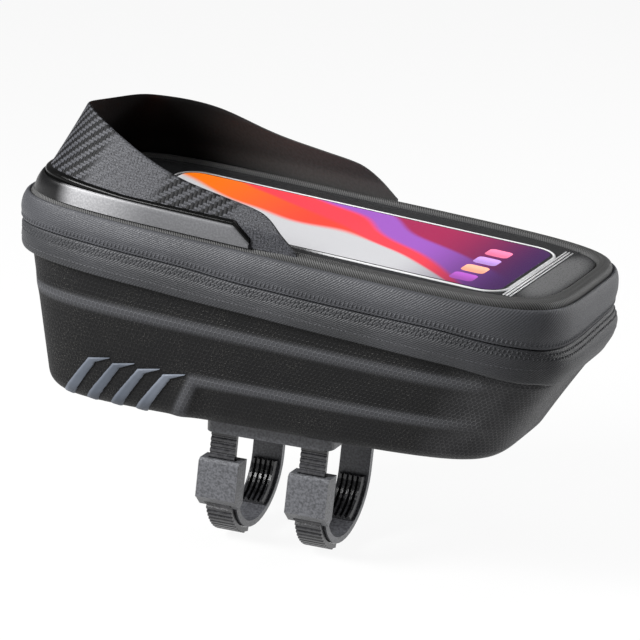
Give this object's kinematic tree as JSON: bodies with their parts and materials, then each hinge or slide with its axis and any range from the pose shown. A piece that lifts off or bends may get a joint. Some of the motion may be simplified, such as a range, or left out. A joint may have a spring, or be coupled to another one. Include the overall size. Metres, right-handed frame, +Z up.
{
  "type": "handlebar bag with phone window",
  "caption": "Hard-shell bicycle bag with a zipped lid, a phone window under a sun visor, and ratchet strap clamps that hold it on a handlebar.",
  "frame": {"origin": "middle of the mount plate's underside, which sits on the handlebar", "axes": "+Z up out of the plate, +X along the bag to its sloped end, +Y across it to the side away from the picture; the lid's fabric hinge is at the -X end"},
  "size_m": [0.2166, 0.1085, 0.1643],
  "materials": {
    "shell": "moulded EVA foam with a fine weave",
    "band": "coated, satin",
    "rim": "matt",
    "coil": "moulded coil",
    "frame": "gloss",
    "film": "clear soft film",
    "phone": "satin",
    "screen": "gloss",
    "trim": "satin",
    "visor": "woven look",
    "chevron": "reflective film",
    "clamp": "satin",
    "strap": "moulded ribs",
    "slider": "black",
    "screw": "satin"
  },
  "bodies": {
    "bag": {"clamp_arm_1": "clamp", "clamp_arm_2": "clamp", "grip_pad_1": "strap", "grip_pad_2": "strap", "hinge_tape": "band", "inner_plate": "clamp", "lower_band": "band", "lower_shell": "shell", "mount_plate": "clamp", "mount_screw_1": "screw", "mount_screw_2": "screw", "mount_screw_3": "screw", "mount_screw_4": "screw", "ratchet_strap_1": "strap", "ratchet_strap_2": "strap", "reflective_chevron_1": "chevron", "reflective_chevron_2": "chevron", "reflective_chevron_3": "chevron", "reflective_chevron_4": "chevron", "zip_coil_lower": "coil"},
    "lid": {"upper_band": "band", "zip_coil_upper": "coil", "lid_rim": "rim", "lid_frame": "frame", "phone_pocket_backing": "rim", "window_film": "film", "phone": "phone", "phone_screen": "screen", "visor_base": "trim", "sun_visor": "visor"},
    "slider": {"zip_slider": "slider"},
    "puller": {"zip_puller": "strap"}
  },
  "joints": [
    {"name": "lid_hinge", "type": "hinge", "parent": "bag", "child": "lid", "pos_m": [-0.1007, 0, 0.07205], "axis": [0, -1, 0], "range_deg": [0, 100]},
    {"name": "slider_track", "type": "slide", "parent": "bag", "child": "slider", "axis": [0.997, 0, -0.0778], "range_m": [0, 0.09]},
    {"name": "puller_pivot", "type": "hinge", "parent": "slider", "child": "puller", "pos_m": [-0.03839, 0.0558, 0.06719], "axis": [0.997, 0, -0.0778], "range_deg": [0, 150]}
  ]
}
